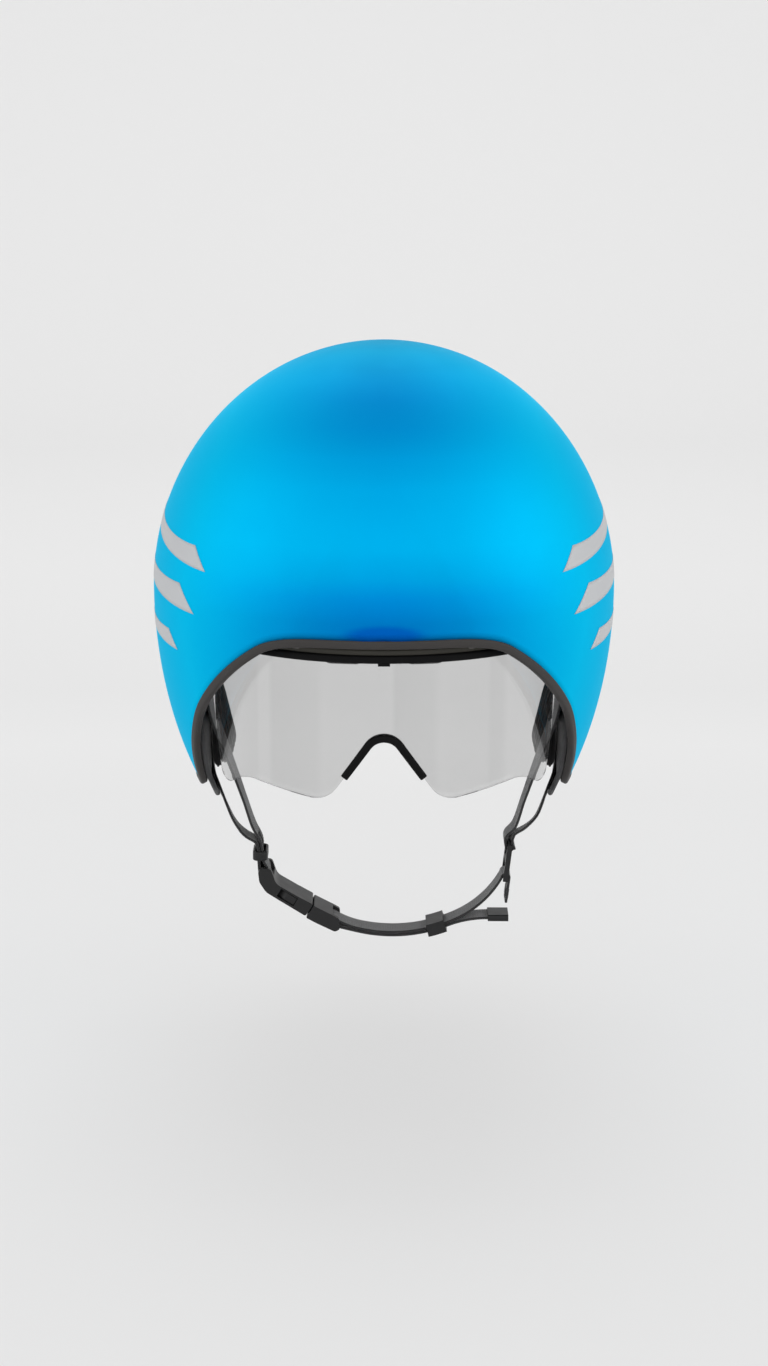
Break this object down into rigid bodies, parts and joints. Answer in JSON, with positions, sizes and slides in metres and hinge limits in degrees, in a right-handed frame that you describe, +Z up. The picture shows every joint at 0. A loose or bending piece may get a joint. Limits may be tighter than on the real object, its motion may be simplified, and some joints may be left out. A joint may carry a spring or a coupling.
{
  "type": "aero time trial helmet",
  "caption": "Round-fronted aero helmet with a clear visor, foam liner, webbing harness with a side-release buckle, and a head ring drawn in by a rear dial.",
  "frame": {"origin": "centre of the head opening on the headband plane, where the shell is widest", "axes": "+Z up towards the crown, face towards -Y, tail towards +Y, +X towards the viewer's right when the helmet is seen from the front"},
  "size_m": [0.225, 0.3061, 0.2864],
  "materials": {
    "paint": "pearlescent blue lacquer under a clear coat",
    "trim_rubber": "satin dark grey",
    "black_plastic": "fine moulded grain",
    "foam": "bead foam",
    "pad_fabric": "brushed knit over foam",
    "lining_fabric": "soft lining",
    "ear_pad_fabric": "ribbed knit over foam",
    "seat_plastic": "dark satin",
    "magnet": "nickel plate",
    "lens": "clear light smoke",
    "black_rubber": "matt",
    "webbing": "woven",
    "buckle_plastic": "satin acetal",
    "band_plastic": "satin nylon",
    "spring_steel": "bright"
  },
  "bodies": {
    "helmet": {"outer_shell": "paint", "edge_trim": "trim_rubber", "tail_vent": "black_plastic", "foam_liner": "foam", "height_track": "black_plastic", "brow_pad": "pad_fabric", "crown_pad": "pad_fabric", "side_pad_left": "pad_fabric", "side_pad_right": "pad_fabric", "ear_lining_left": "lining_fabric", "ear_lining_right": "lining_fabric", "ear_pad_left": "ear_pad_fabric", "ear_pad_right": "ear_pad_fabric", "visor_seat": "seat_plastic", "seat_magnets": "magnet", "strap_left": "webbing", "strap_right": "webbing", "chin_strap": "webbing", "strap_anchors": "black_plastic", "strap_divider": "buckle_plastic", "strap_end": "buckle_plastic", "strap_link": "buckle_plastic", "buckle_housing": "buckle_plastic", "buckle_plug": "buckle_plastic", "temple_pins": "black_plastic"},
    "visor": {"visor_lens": "lens", "brow_seal": "black_rubber", "nose_bead": "black_rubber", "visor_magnets": "magnet"},
    "fit_frame": {"cradle": "band_plastic", "cradle_pad_left": "pad_fabric", "cradle_pad_right": "pad_fabric", "dial_housing": "black_plastic", "detent_spring": "spring_steel", "temple_clip_left": "band_plastic", "temple_clip_right": "band_plastic", "height_strip": "band_plastic"},
    "dial": {"dial_knob": "black_plastic", "pinion": "band_plastic", "dial_screw": "spring_steel"},
    "left_band": {"band_left": "band_plastic"},
    "right_band": {"band_right": "band_plastic"},
    "keeper": {"strap_keeper": "buckle_plastic"},
    "front_release": {"front_prong": "buckle_plastic"},
    "rear_release": {"rear_prong": "buckle_plastic"}
  },
  "joints": [
    {"name": "visor_release", "type": "slide", "parent": "helmet", "child": "visor", "axis": [0, -0.7071, -0.7071], "range_m": [0, 0.07]},
    {"name": "height_adjust", "type": "hinge", "parent": "helmet", "child": "fit_frame", "pos_m": [0, -0.01, 0], "axis": [1, 0, 0], "range_deg": [-5, 8]},
    {"name": "dial_turn", "type": "hinge", "parent": "fit_frame", "child": "dial", "pos_m": [0, 0.09937, -0.03554], "axis": [0, 0.9511, -0.309], "range_deg": [-60, 60]},
    {"name": "left_band_draw", "type": "hinge", "parent": "fit_frame", "child": "left_band", "pos_m": [0, 0.01282, -0.00742], "axis": [0, 0.309, 0.9511], "range_deg": [-4.4, 4.4]},
    {"name": "right_band_draw", "type": "hinge", "parent": "fit_frame", "child": "right_band", "pos_m": [0, 0.01282, -0.00742], "axis": [0, 0.309, 0.9511], "range_deg": [-4.4, 4.4]},
    {"name": "keeper_slide", "type": "hinge", "parent": "helmet", "child": "keeper", "pos_m": [0.0042, -0.03, -0.094], "axis": [0, 1, 0], "range_deg": [0, 24]},
    {"name": "front_prong_squeeze", "type": "hinge", "parent": "helmet", "child": "front_release", "pos_m": [-0.03565, -0.0367, -0.15543], "axis": [-0.5299, 0, -0.848], "range_deg": [0, 9], "stiffness_Nm_per_rad": 0.9},
    {"name": "rear_prong_squeeze", "type": "hinge", "parent": "helmet", "child": "rear_release", "pos_m": [-0.03565, -0.0233, -0.15543], "axis": [0.5299, 0, 0.848], "range_deg": [0, 9], "stiffness_Nm_per_rad": 0.9}
  ],
  "couplings": [
    {"joint": "left_band_draw", "follows": "dial_turn", "ratio": -0.072727},
    {"joint": "right_band_draw", "follows": "dial_turn", "ratio": 0.072727}
  ]
}
